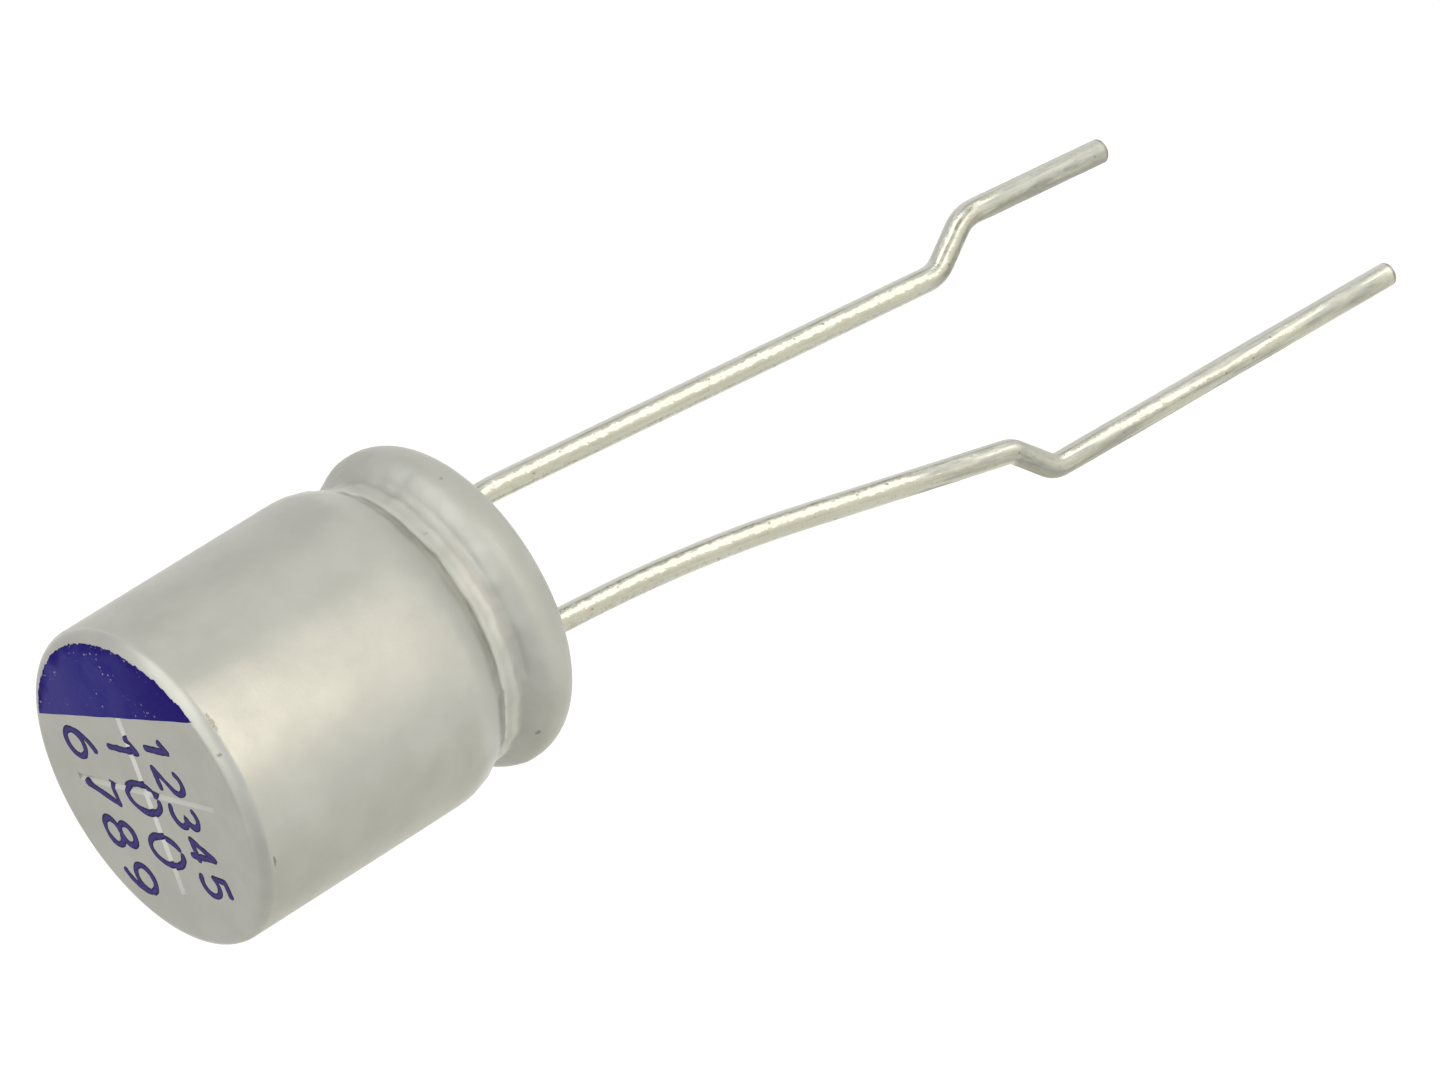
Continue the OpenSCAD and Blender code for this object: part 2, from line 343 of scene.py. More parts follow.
def panelPose(azimuth, reach, height, elevation):   # its back turned outwards
    pose = outward(azimuth, elevation).to_track_quat("Z", "Y").to_matrix().to_4x4()
    pose.translation = (reach * outward(azimuth, 0) + Vector((0, 0, height))) * mm
    return pose


def makeBoard(name, halfWidth, halfLength, pose, shade, setup):   # a flat pale board of the stage
    signs = ((-1, -1), (1, -1), (1, 1), (-1, 1))
    corners = [pose @ Vector((x * halfWidth, y * halfLength, 0)) for x, y in signs]
    mesh = bpy.data.meshes.new(name)
    mesh.from_pydata(corners, [], [(0, 1, 2, 3)])
    board = addObject(name, mesh)
    material, tree, shader, spot = newFinish(name)
    mottled = [value * setup["boardMottle"] for value in shade]
    tint = blendColour(tree, grain(tree, spot, setup["boardMottleSize"]), shade, mottled)
    tree.links.new(tint, shader.inputs["Base Color"])
    shader.inputs["Roughness"].default_value = 1.0
    shader.inputs["Specular IOR Level"].default_value = 0.0
    mesh.materials.append(material)
    return board


def makeStudio(setup):
    scene = bpy.context.scene
    scene.view_settings.view_transform = "Standard"
    world = bpy.data.worlds.new("lightTent")
    world.use_nodes = True
    scene.world = world
    tree = world.node_tree
    direction = put(tree, "ShaderNodeTexCoord").outputs["Generated"]
    sky = setup["sky"]
    for azimuth, elevation, reach, colour in setup["skyShades"].values():
        facing = vectorCalc(tree, "DOT_PRODUCT", direction, outward(azimuth, elevation))
        sky = blendColour(tree, fade(tree, facing, *reach), sky, colour)
    tree.links.new(sky, tree.nodes["Background"].inputs["Color"])

    half = setup["floorSize"] / 2
    level = Matrix.Translation((0, 0, setup["floorLevel"]))
    makeBoard("floor", half, half, level, setup["floorShade"], setup)
    for name, (azimuth, reach, height, elevation, wide, tall, shade) in setup["boards"].items():
        pose = panelPose(azimuth, reach, height, elevation)
        board = makeBoard(name, wide * mm / 2, tall * mm / 2, pose, shade, setup)
        board.visible_camera = False

    for name, (azimuth, reach, height, elevation, wide, tall, radiance, colour) in setup["panels"].items():
        wide, tall = wide * mm, tall * mm
        light = bpy.data.lights.new(name, "AREA")
        light.shape = "RECTANGLE"
        light.size, light.size_y = wide, tall
        light.energy = radiance * math.pi * wide * tall
        light.color = colour
        panel = addObject(name, light)
        panel.matrix_world = panelPose(azimuth, reach, height, elevation)
        panel.visible_camera = False
        if name in setup["leadPanels"]:
            panel.light_linking.receiver_collection = leadLight


makeStudio(studioSettings)
print("studio lit")

# Can: a turned shell with a rolled bead, a curled rim and a scored vent
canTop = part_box("can")[1]
canRadius = canTop.x / mm
canHeight = canTop.z / mm
canSettings = {   # millimetres and degrees
    "sheet": 0.3, "crown": 0.35, "crownInside": 0.15,
    "beadDepth": 0.4, "rootRadius": 0.3, "rootStraight": 0.34, "shoulderRadius": 1.8,
    "rimTopRadius": 0.65, "rimRadius": 0.85, "rimStraight": 0.05, "seatWidth": 0.15, "curlRadius": 0.45,
    "segments": 224, "arcStep": 6.0, "wallRows": 12, "flatRing": 0.9, "crownRing": 0.03,
    "ripple": 0.15, "rippleSize": 0.6, "rippleDetail": 1.5, "rippleMiddle": 0.55, "rippleRise": 0.6,
    "score": {"length": 5.3, "width": 0.2, "depth": 0.06, "turn": -6.6, "inkDip": 0.85},
    "finish": {
        "metal": (0.473, 0.476, 0.440), "dullMetal": (0.436, 0.439, 0.405), "mottleSize": 1.1,
        # score lines' painted highlight: the skin left plain in millimetres, the rest as shares of the
        # score's own sizes
        "paintedScoreHighlight": (0.63, 0.63, 0.61), "scoreSkin": 0.002, "scoreDepth": 1.5, "scoreReach": 0.52,
        "brightLine": (0.8, 0.4), "brightMiddle": (0.5, 0.2), "dimShare": 0.5,
        # bands of painted light and shade round the can: heights at which each starts, is full, starts to
        # fade and ends
        # painted light: the bead's root is painted lighter
        "root": (1.9, 2.15, 2.28, 2.42), "rootMetal": (0.53, 0.53, 0.49), "rootShare": 1.0,
        # painted shade: a ragged band under the lip is painted darker
        "under": (1.42, 1.62, 1.68, 1.77), "underMetal": (0.39, 0.37, 0.345), "underShare": 0.4,
        # painted highlight: the ragged lip along the bead is painted brighter
        "lip": (1.66, 1.77, 1.79, 1.97), "lipMetal": (0.585, 0.58, 0.55), "lipShare": 0.8, "lipPatch": 1.3,
        # painted shade in the crease over the root
        "crease": (2.3, 2.45, 2.6, 3.1), "creaseMetal": (0.36, 0.36, 0.33), "creaseShare": 0.45,
        "ragged": 0.035, "raggedSize": 0.55,
        "roughness": (0.3, 0.34), "roughnessSize": 0.3, "scoreRoughness": 0.6,
        "rimRoughness": 0.5, "rimLevel": (1.9, 1.55),
        "bumpSize": 0.07, "bumpDepth": 0.0006 * mm,
        "stain": (0.13, 0.12, 0.085), "stainSize": 0.06, "stainRagged": 0.45, "stainCore": 0.2,
        "stains": [   # azimuth, height, half width round the can, half height, strength
            (25.5, 9.26, 0.28, 0.06, 0.5), (15.5, 9.5, 0.07, 0.05, 0.6), (-26.0, 9.22, 0.16, 0.05, 0.6),
            (-48.0, 1.3, 0.1, 0.06, 0.55), (55.5, 0.82, 0.06, 0.06, 0.35), (44.0, 1.9, 0.05, 0.08, 0.3),
        ],
    },
}
scoreForm = canSettings["score"]
scoreSizes = {"Score Length": scoreForm["length"] * mm, "Score Width": scoreForm["width"] * mm,
              "Score Depth": scoreForm["depth"] * mm, "Score Level": canHeight * mm,
              "Score Turn": math.radians(scoreForm["turn"])}


def cutScores(tree, given, mesh):   # two crossed score lines, each a rhombic bar whose lower half cuts a V
    bar = put(tree, "GeometryNodeMeshCylinder",
              {"Vertices": 4, "Radius": 1.0, "Depth": given["Score Length"]}, fill_type="NGON")
    bulk = joinAxes(tree, calc(tree, "DIVIDE", given["Score Width"], 2.0), given["Score Depth"], 1.0)
    seat = joinAxes(tree, z=given["Score Level"])
    cut = put(tree, "GeometryNodeMeshBoolean", {"Mesh 1": mesh}, operation="DIFFERENCE", solver="MANIFOLD")
    for quarter in (math.pi / 2, math.pi):
        turn = calc(tree, "ADD", given["Score Turn"], quarter)
        line = put(tree, "GeometryNodeTransform",
                   {"Geometry": bar.outputs["Mesh"], "Translation": seat,
                    "Rotation": joinAxes(tree, math.pi / 2, z=turn), "Scale": bulk})
        tree.links.new(line.outputs[0], cut.inputs["Mesh 2"])
    return cut.outputs["Mesh"]


def followScores(tree, given, geometry):   # ink sinks into the score lines with the skin under it
    spot = position(tree)
    half = calc(tree, "DIVIDE", given["Score Width"], 2.0)
    reach = calc(tree, "DIVIDE", given["Score Length"], 2.0)
    sinks = []
    for quarter in (0.0, math.pi / 2):
        turn = calc(tree, "ADD", given["Score Turn"], quarter)
        cosine, sine = calc(tree, "COSINE", turn), calc(tree, "SINE", turn)
        line = joinAxes(tree, cosine, sine)
        side = joinAxes(tree, product(tree, sine, -1.0), cosine)
        along = calc(tree, "ABSOLUTE", vectorCalc(tree, "DOT_PRODUCT", spot, line))
        across = calc(tree, "ABSOLUTE", vectorCalc(tree, "DOT_PRODUCT", spot, side))
        sink = calc(tree, "SUBTRACT", scoreForm["inkDip"], calc(tree, "DIVIDE", across, half))
        sink = calc(tree, "MAXIMUM", sink, 0.0)
        sinks.append(product(tree, sink, calc(tree, "LESS_THAN", along, reach)))
    down = product(tree, given["Score Depth"], -1.0)
    offset = joinAxes(tree, z=product(tree, calc(tree, "MAXIMUM", *sinks), down))
    return put(tree, "GeometryNodeSetPosition", {"Geometry": geometry, "Offset": offset}).outputs[0]


def arcPoints(centre, radius, start, end, step):
    count = max(2, math.ceil(abs(end - start) / step))
    angles = [math.radians(start + (end - start) * i / count) for i in range(count + 1)]
    return [(centre[0] + radius * math.cos(a), centre[1] + radius * math.sin(a)) for a in angles]


def ramp(value, start, end):   # straight step from 0 to 1
    return min(1.0, max(0.0, (value - start) / (end - start)))


def canProfile(form):   # half section as (radius, height, give), from the outer pole round to the inner pole
    sheet, rim, root = form["sheet"], form["rimRadius"], form["rootRadius"]
    shoulder, depth, step = form["shoulderRadius"], form["beadDepth"], form["arcStep"]
    rimUpper = form["rimTopRadius"]
    rimReach, shoulderReach = rimUpper + root, shoulder + root
    rimTop = (canRadius - rimUpper, rim + form["rimStraight"])
    rimLow = (canRadius - rim, rim)
    rimAngle = math.degrees(math.acos((rimReach - depth) / rimReach))
    shoulderAngle = math.degrees(math.acos((shoulderReach - depth) / shoulderReach))
    beadLevel = rimTop[1] + rimReach * math.sin(math.radians(rimAngle))
    rootTop = beadLevel + form["rootStraight"]
    shoulderLevel = rootTop + shoulderReach * math.sin(math.radians(shoulderAngle))
    rootX = canRadius - depth + root
    crown, crownInside, curl = form["crown"], form["crownInside"], form["curlRadius"]
    flat = canRadius - crown
    innerTop = canHeight - sheet

    outer = [(0.0, canHeight), (form["flatRing"] * flat, canHeight), (flat - form["crownRing"], canHeight)]
    outer += arcPoints((flat, canHeight - crown), crown, 90, 0, step)
    wallTop, rows = canHeight - crown, form["wallRows"]
    outer += [(canRadius, wallTop + (shoulderLevel - wallTop) * i / rows) for i in range(1, rows)]
    closure = [   # centre, outer and inner radius, start and end
        ((canRadius - shoulder, shoulderLevel), shoulder, shoulder - sheet, 0, -shoulderAngle),
        ((rootX, rootTop), root, root + sheet, 180 - shoulderAngle, 180),
        ((rootX, beadLevel), root, root + sheet, 180, 180 + rimAngle),
        (rimTop, rimUpper, rimUpper - sheet, rimAngle, 0),
        (rimLow, rim, rim - sheet, 0, -90),
        ((rimLow[0] - form["seatWidth"], curl), curl, curl - sheet, -90, -180),
    ]
    inner = []
    for centre, outside, inside, start, end in closure:
        outer += arcPoints(centre, outside, start, end, step)
        inner = arcPoints(centre, inside, end, start, 2 * step) + inner
    corner = (canRadius - sheet - crownInside, innerTop - crownInside)
    inner += arcPoints(corner, crownInside, 0, 90, 2 * step)
    inner += [(0.0, innerTop)]

    fullLevel = rimTop[1] + form["rippleRise"] * (beadLevel - rimTop[1])

    def give(level):   # the rolled bead wavers most, and the seat and wall stay true
        return ramp(level, rimTop[1], fullLevel) * ramp(level, shoulderLevel, rootTop)

    section = [(r, z, give(z)) for r, z in outer] + [(r, z, 0.0) for r, z in inner]
    kept = [section[0]]
    for point in section[1:]:
        if math.dist(point[:2], kept[-1][:2]) > 1e-6:
            kept.append(point)
    return kept


def makeTurnedTree(form):
    tree, given, result = newGroup(
        "turnedCan", "GeometryNodeTree",
        {"Profile": "Geometry", "Segments": 192, "Ripple": 0.0, "Ripple Size": 1.0,
         **scoreSizes, "Material": "Material"}, {"Geometry": "Geometry"})
    rows = put(tree, "GeometryNodeAttributeDomainSize", {0: given["Profile"]}).outputs["Point Count"]
    columns = calc(tree, "ADD", given["Segments"], 1)
    sheet = put(tree, "GeometryNodeMeshGrid",
                {"Size X": 1.0, "Size Y": 1.0, "Vertices X": columns, "Vertices Y": rows})
    spot = splitAxes(tree, position(tree))
    last = calc(tree, "SUBTRACT", rows, 1)
    row = calc(tree, "ROUND", product(tree, calc(tree, "ADD", spot["Y"], 0.5), last))
    angle = product(tree, calc(tree, "ADD", spot["X"], 0.5), math.tau)

    def sampled(kind, value):   # the profile's value on this row
        feeds = {"Geometry": given["Profile"], "Value": value, "Index": row}
        return put(tree, "GeometryNodeSampleIndex", feeds, data_type=kind, domain="POINT").outputs["Value"]

    section = splitAxes(tree, sampled("FLOAT_VECTOR", position(tree)))
    give = sampled("FLOAT", namedValue(tree, "FLOAT", "give"))
    cosine, sine = calc(tree, "COSINE", angle), calc(tree, "SINE", angle)

    def turned(radius):
        return joinAxes(tree, product(tree, radius, cosine), product(tree, radius, sine), section["Z"])

    scale = calc(tree, "DIVIDE", 1.0, given["Ripple Size"])
    cloud = put(tree, "ShaderNodeTexNoise",
                {"Vector": turned(section["X"]), "Scale": scale, "Detail": form["rippleDetail"]})
    waver = calc(tree, "SUBTRACT", cloud.outputs["Fac"], form["rippleMiddle"])
    swing = product(tree, waver, given["Ripple"], give)
    radius = calc(tree, "ADD", section["X"], swing)
    shell = put(tree, "GeometryNodeSetPosition",
                {"Geometry": sheet.outputs["Mesh"], "Position": turned(radius)})
    shell = put(tree, "GeometryNodeMergeByDistance", {"Geometry": shell.outputs[0], "Distance": 1e-7})
    return dress(tree, given, result, cutScores(tree, given, shell.outputs[0]))


def makeCanFinish(look):
    material, tree, shader, spot = newFinish("satinAluminium", metallic=1.0)
    level = splitAxes(tree, spot)["Z"]
    mottle = grain(tree, spot, look["mottleSize"])
    colour = blendColour(tree, mottle, look["metal"], look["dullMetal"])
    # the score lines get a painted highlight just under the flat top, one brighter than the other
    length, width = scoreForm["length"], scoreForm["width"]
    below = calc(tree, "LESS_THAN", level, canHeight - look["scoreSkin"])
    near = calc(tree, "GREATER_THAN", level, canHeight - look["scoreDepth"] * scoreForm["depth"])
    reach = axisDistance(tree, spot)
    score = product(tree, below, near, calc(tree, "LESS_THAN", reach, look["scoreReach"] * length))
    side = Matrix.Rotation(math.radians(scoreForm["turn"]), 3, "Z") @ Vector((0, 1, 0))
    across = calc(tree, "ABSOLUTE", vectorCalc(tree, "DOT_PRODUCT", spot, side))
    shown = score
    for value, size, key in ((across, width, "brightLine"), (reach, length, "brightMiddle")):
        start, end = look[key]
        shown = product(tree, shown, fade(tree, value, start * size, end * size, look["dimShare"], 1.0))
    colour = blendColour(tree, shown, colour, look["paintedScoreHighlight"])
    for azimuth, height, halfWidth, halfHeight, strength in look["stains"]:
        out = outward(azimuth, 0)
        offset = vectorCalc(tree, "SUBTRACT", spot, canRadius * out + Vector((0, 0, height)))
        tangent = out.cross(Vector((0, 0, 1)))
        sideways = calc(tree, "DIVIDE", vectorCalc(tree, "DOT_PRODUCT", offset, tangent), halfWidth)
        rise = calc(tree, "DIVIDE", vectorCalc(tree, "DOT_PRODUCT", offset, (0, 0, 1)), halfHeight)
        front = calc(tree, "GREATER_THAN", vectorCalc(tree, "DOT_PRODUCT", spot, out), 0.0)
        spread = calc(tree, "ADD", calc(tree, "POWER", sideways, 2.0), calc(tree, "POWER", rise, 2.0))
        ragged = grain(tree, spot, look["stainSize"], -look["stainRagged"], look["stainRagged"])
        spread = calc(tree, "ADD", spread, ragged)
        mask = product(tree, fade(tree, spread, 1.0, look["stainCore"], 0.0, strength), front)
        colour = blendColour(tree, mask, colour, look["stain"])
    # painted light and shade round the bead: the root painted lighter, a ragged band under the lip painted
    # darker, the ragged lip painted as a highlight, and painted shade in the crease over the root
    waver = grain(tree, spot, look["raggedSize"], -look["ragged"], look["ragged"])
    raggedLevel = calc(tree, "ADD", level, waver)
    patchy = grain(tree, spot, look["lipPatch"], 0.0, look["lipShare"])
    bands = [("root", level, look["rootShare"]), ("under", raggedLevel, look["underShare"]),
             ("lip", raggedLevel, patchy), ("crease", level, look["creaseShare"])]
    for key, value, share in bands:
        start, full, fading, end = look[key]
        band = product(tree, fade(tree, value, start, full, 0.0, share), fade(tree, value, end, fading))
        colour = blendColour(tree, band, colour, look[key + "Metal"])
    roughness = grain(tree, spot, look["roughnessSize"], *look["roughness"])
    rim = fade(tree, level, *look["rimLevel"])   # scuffed by the curling tool
    roughness = blendValue(tree, rim, roughness, look["rimRoughness"])
    roughness = blendValue(tree, score, roughness, look["scoreRoughness"])
    coat(tree, shader, colour, roughness, grain(tree, spot, look["bumpSize"]), look["bumpDepth"])
    return material


def makeCan(form):
    section = canProfile(form)
    source = chainObject("canProfile", [[(r * mm, 0, z * mm) for r, z, give in section]],
                         give=[give for r, z, give in section])
    sizes = {
        "Segments": form["segments"], "Ripple": form["ripple"] * mm, "Ripple Size": form["rippleSize"] * mm,
        "Material": makeCanFinish(form["finish"]), **scoreSizes,
    }
    placePiece(growPiece("canShell", source, makeTurnedTree(form), sizes), "can_aluminium", "can")


makeCan(canSettings)

# Leads: tinned wire swept along its formed route
leadSettings = {   # millimetres and degrees, each bend as (straight run, turn towards +X, bend radius)
    "radius": 0.3, "stub": 1.35, "leanRadius": 3.5, "step": 0.07, "sides": 40,
    "tipRound": 0.09, "tipRings": 6, "tipScale": 0.8, "burr": 0.16,
    "lumps": 0.012, "lumpSize": 0.5, "lumpDetail": 2.0, "lumpMiddle": 0.6, "lumpLeast": 0.3,
    "kinkFade": 0.5, "dullFade": 1.5,
    "cathode_lead": {
        "bends": [(12.8, 40, 0.9), (0.9, -40, 0.9), (4.0, 0, 0)], "lean": -5.6,
        "dullFrom": 17.0, "dull": 1.0, "kink": (15.2, 17.7), "kinkCrease": 1.0, "kinkDull": 0.0},
    "anode_lead": {
        "bends": [(1.25, -8, 43.5), (5.9, -32, 0.6), (0.9, 42.7, 0.6), (10.7, 0, 0)], "lean": -5.0,
        "dullFrom": 12.0, "dull": 0.5, "kink": (15.7, 17.6), "kinkCrease": 0.0, "kinkDull": 1.0},
    "finish": {   # bearings in degrees round the wire; stretches as (across, along)
        "tin": (0.515, 0.508, 0.424), "greyTin": (0.463, 0.456, 0.377), "streak": (14.0, 0.5),
        # painted lighter reflection on one side of the wire
        "paintedSheenTin": (0.50, 0.503, 0.468), "paintedSheenSide": (38.0, 62.0),
        "dullTin": (0.352, 0.354, 0.332), "dullRoughness": 0.58, "dullGain": 1.6, "dullEdge": 2.0,
        "patch": (2.2, 0.14), "patchSize": 0.35, "blotch": (2.0, 0.2), "blotchSize": 0.22,
        # lines along the wire as (bearing, half width, strength), full within a share of that width
        "lineCore": 0.3, "swerve": 3.0, "swerveSize": 2.0,
        # painted dark reflections along the wire, at fixed bearings
        "paintedDarkLineTin": (0.30, 0.295, 0.255), "paintedDarkLines": [(58.0, 8.5, 0.9), (-3.0, 13.0, 0.35)],
        "paintedDarkLineSize": 0.6, "paintedDarkLineLeast": 0.35, "paintedDarkLineDullFade": 0.6,
        # painted dark reflection line and painted shade on one side, along the cathode's kink
        "paintedKinkShadeTin": (0.07, 0.068, 0.055), "paintedKinkLine": (32.0, 12.0, 0.9),
        "creaseSize": 0.25, "creaseLeast": 0.5,
        "paintedKinkShadeSide": (2.0, -12.0), "paintedKinkShadeBack": (-130.0, -100.0), "paintedKinkShadeShare": 0.58,
        "scuffLine": (-6.0, 30.0, 0.36), "smear": (1.0, 0.35), "smearSize": 0.2, "smearEdge": (0.4, 0.95),
        # pits and freckles as (spacing, reach, share of the cells)
        "pit": (0.17, 0.16, 0.12), "pits": (0.2, 0.24, 0.16), "pitShare": 0.6,
        "freckle": (0.36, 0.32, 0.25), "freckles": (0.13, 0.34, 0.28), "freckleShare": 0.5,
        "cutEdge": (0.2, 0.2, 0.18), "burrStart": (0.1, 0.5), "burrEnd": (1.0, 0.93),
        "burrSize": 0.2, "burrShare": (0.3, 0.9),
        "roughness": (0.15, 0.22), "roughnessSize": 0.2, "bumpSize": 0.22, "bumpDepth": 0.010 * mm,
    },
}


def formedRoute(start, bends, step):   # points along runs and tangent arcs, heading down
    spot, heading, length = Vector(start), 0.0, 0.0
    route = [(spot.copy(), length)]
    for run, turn, radius in bends:
        count = max(2, math.ceil(run / step))
        along = Vector((math.sin(heading), 0, -math.cos(heading)))
        for i in range(count):
            spot = spot + along * run / count
            length += run / count
            route.append((spot.copy(), length))
        turn = math.radians(turn)
        arc = abs(turn) * radius
        count = max(1, math.ceil(arc / step)) if arc else 0
        for i in range(count):
            swing = turn / count
            chord = 2 * radius * math.sin(abs(swing) / 2)
            middle = heading + swing / 2
            spot = spot + chord * Vector((math.sin(middle), 0, -math.cos(middle)))
            heading += swing
            length += arc / count
            route.append((spot.copy(), length))
    return route


def makeWireTree(form):
    tree, given, result = newGroup(
        "formedWire", "GeometryNodeTree",
        {"Route": "Geometry", "Radius": 0.0003, "Sides": 32, "Lumps": 0.0, "Lump Size": 0.0005,
         "Material": "Material"}, {"Geometry": "Geometry"})
    line = put(tree, "GeometryNodeMeshToCurve", {"Mesh": given["Route"]})
    ring = put(tree, "GeometryNodeCurvePrimitiveCircle",
               {"Resolution": given["Sides"], "Radius": given["Radius"]}, mode="RADIUS")
    profile = storeVector(tree, ring.outputs["Curve"], "ring", position(tree))
    swept = put(tree, "GeometryNodeCurveToMesh",
                {"Curve": line.outputs[0], "Profile Curve": profile,
                 "Scale": namedValue(tree, "FLOAT", "girth"), "Fill Caps": True})
    normal = put(tree, "GeometryNodeInputNormal").outputs[0]
    faced = storeVector(tree, swept.outputs[0], "facing", normal)
    # the straightened wire carries the tin's lumps
    unrolled = vectorCalc(tree, "ADD", namedValue(tree, "FLOAT_VECTOR", "ring"),
                          joinAxes(tree, z=namedValue(tree, "FLOAT", "along")))
    scale = calc(tree, "DIVIDE", 1.0, given["Lump Size"])
    cloud = put(tree, "ShaderNodeTexNoise",
                {"Vector": unrolled, "Scale": scale, "Detail": form["lumpDetail"]})
    lump = calc(tree, "SUBTRACT", cloud.outputs["Fac"], form["lumpMiddle"])
    dulled = calc(tree, "ADD", form["lumpLeast"], namedValue(tree, "FLOAT", "dull"))
    push = product(tree, lump, product(tree, given["Lumps"], dulled))
    offset = put(tree, "ShaderNodeVectorMath", {0: normal, "Scale": push}, operation="SCALE")
    moved = put(tree, "GeometryNodeSetPosition", {"Geometry": faced, "Offset": offset.outputs[0]})
    return dress(tree, given, result, moved.outputs[0])


def makeLeadFinish(look):
    material, tree, shader = newFinish("tinnedWire", metallic=1.0)[:3]
    dullness = carried(tree, "dull", "Fac")
    along = joinAxes(tree, z=carried(tree, "along", "Fac"))
    skin = vectorCalc(tree, "ADD", carried(tree, "ring", "Vector"), along)
    skin = stretched(tree, skin, 1 / mm, 1 / mm)   # on the straightened wire, in millimetres
    streak = grain(tree, stretched(tree, skin, *look["streak"]), 1.0)
    colour = blendColour(tree, streak, look["tin"], look["greyTin"])
    # a half dulled tail is streaky
    patch = grain(tree, stretched(tree, skin, *look["patch"]), look["patchSize"])
    dull = calc(tree, "SUBTRACT", product(tree, dullness, look["dullGain"]), patch)
    dull = put(tree, "ShaderNodeClamp", {"Value": product(tree, dull, look["dullEdge"])}).outputs[0]
    blotch = grain(tree, stretched(tree, skin, *look["blotch"]), look["blotchSize"])
    dullColour = blendColour(tree, blotch, look["dullTin"], look["greyTin"])
    colour = blendColour(tree, dull, colour, dullColour)
    # the bearing is the way that the wire's skin faces, and one side gets a painted lighter reflection
    facing = splitAxes(tree, carried(tree, "facing", "Vector"))
    bearing = calc(tree, "ARCTAN2", facing["X"], product(tree, facing["Y"], -1.0))
    swerve = grain(tree, along, look["swerveSize"] * mm, -look["swerve"], look["swerve"])
    bearing = calc(tree, "ADD", calc(tree, "DEGREES", bearing), swerve)
    colour = blendColour(tree, fade(tree, bearing, *look["paintedSheenSide"]), colour, look["paintedSheenTin"])

    def lineAlong(centre, width, strength):
        aside = calc(tree, "ABSOLUTE", calc(tree, "SUBTRACT", bearing, centre))
        return fade(tree, aside, width, look["lineCore"] * width, 0.0, strength)

    # painted dark reflections as lines along the wire, fading where it is dull
    dullFading = product(tree, calc(tree, "POWER", dullness, 2.0), look["paintedDarkLineDullFade"])
    left = calc(tree, "SUBTRACT", 1.0, dullFading)
    for line in look["paintedDarkLines"]:
        paintedDarkLine = product(tree, lineAlong(*line), grain(tree, skin, look["paintedDarkLineSize"], look["paintedDarkLineLeast"], 1.0), left)
        colour = blendColour(tree, paintedDarkLine, colour, look["paintedDarkLineTin"])
    # a painted dark reflection line along a sharp kink, and painted shade on one side of it
    paintedKinkShade = product(tree, fade(tree, bearing, *look["paintedKinkShadeSide"], 0.0, look["paintedKinkShadeShare"]),
                     fade(tree, bearing, *look["paintedKinkShadeBack"]))
    crease = calc(tree, "MAXIMUM", lineAlong(*look["paintedKinkLine"]), paintedKinkShade)
    crease = product(tree, crease, grain(tree, skin, look["creaseSize"], look["creaseLeast"], 1.0),
                     carried(tree, "kinkCrease", "Fac"))
    colour = blendColour(tree, crease, colour, look["paintedKinkShadeTin"])
    # scuffs on the side that a dulled tail lay on
    smear = grain(tree, stretched(tree, skin, *look["smear"]), look["smearSize"])
    scuff = product(tree, lineAlong(*look["scuffLine"]), fade(tree, smear, *look["smearEdge"]), dullness)
    colour = blendColour(tree, scuff, colour, look["pit"])
    freckle = product(tree, pits(tree, skin, *look["freckles"]), look["freckleShare"])
    colour = blendColour(tree, freckle, colour, look["freckle"])
    pit = product(tree, pits(tree, skin, *look["pits"]), look["pitShare"])
    colour = blendColour(tree, pit, colour, look["pit"])
    # a dark burr round the cut end
    tip = carried(tree, "tip", "Fac")
    burr = product(tree, fade(tree, tip, *look["burrStart"]), fade(tree, tip, *look["burrEnd"]),
                   grain(tree, skin, look["burrSize"], *look["burrShare"]))
    colour = blendColour(tree, burr, colour, look["cutEdge"])
    roughness = grain(tree, skin, look["roughnessSize"], *look["roughness"])
    roughness = blendValue(tree, dull, roughness, look["dullRoughness"])
    height = calc(tree, "SUBTRACT", grain(tree, skin, look["bumpSize"]), pit)
    coat(tree, shader, colour, roughness, height, look["bumpDepth"])
    return material


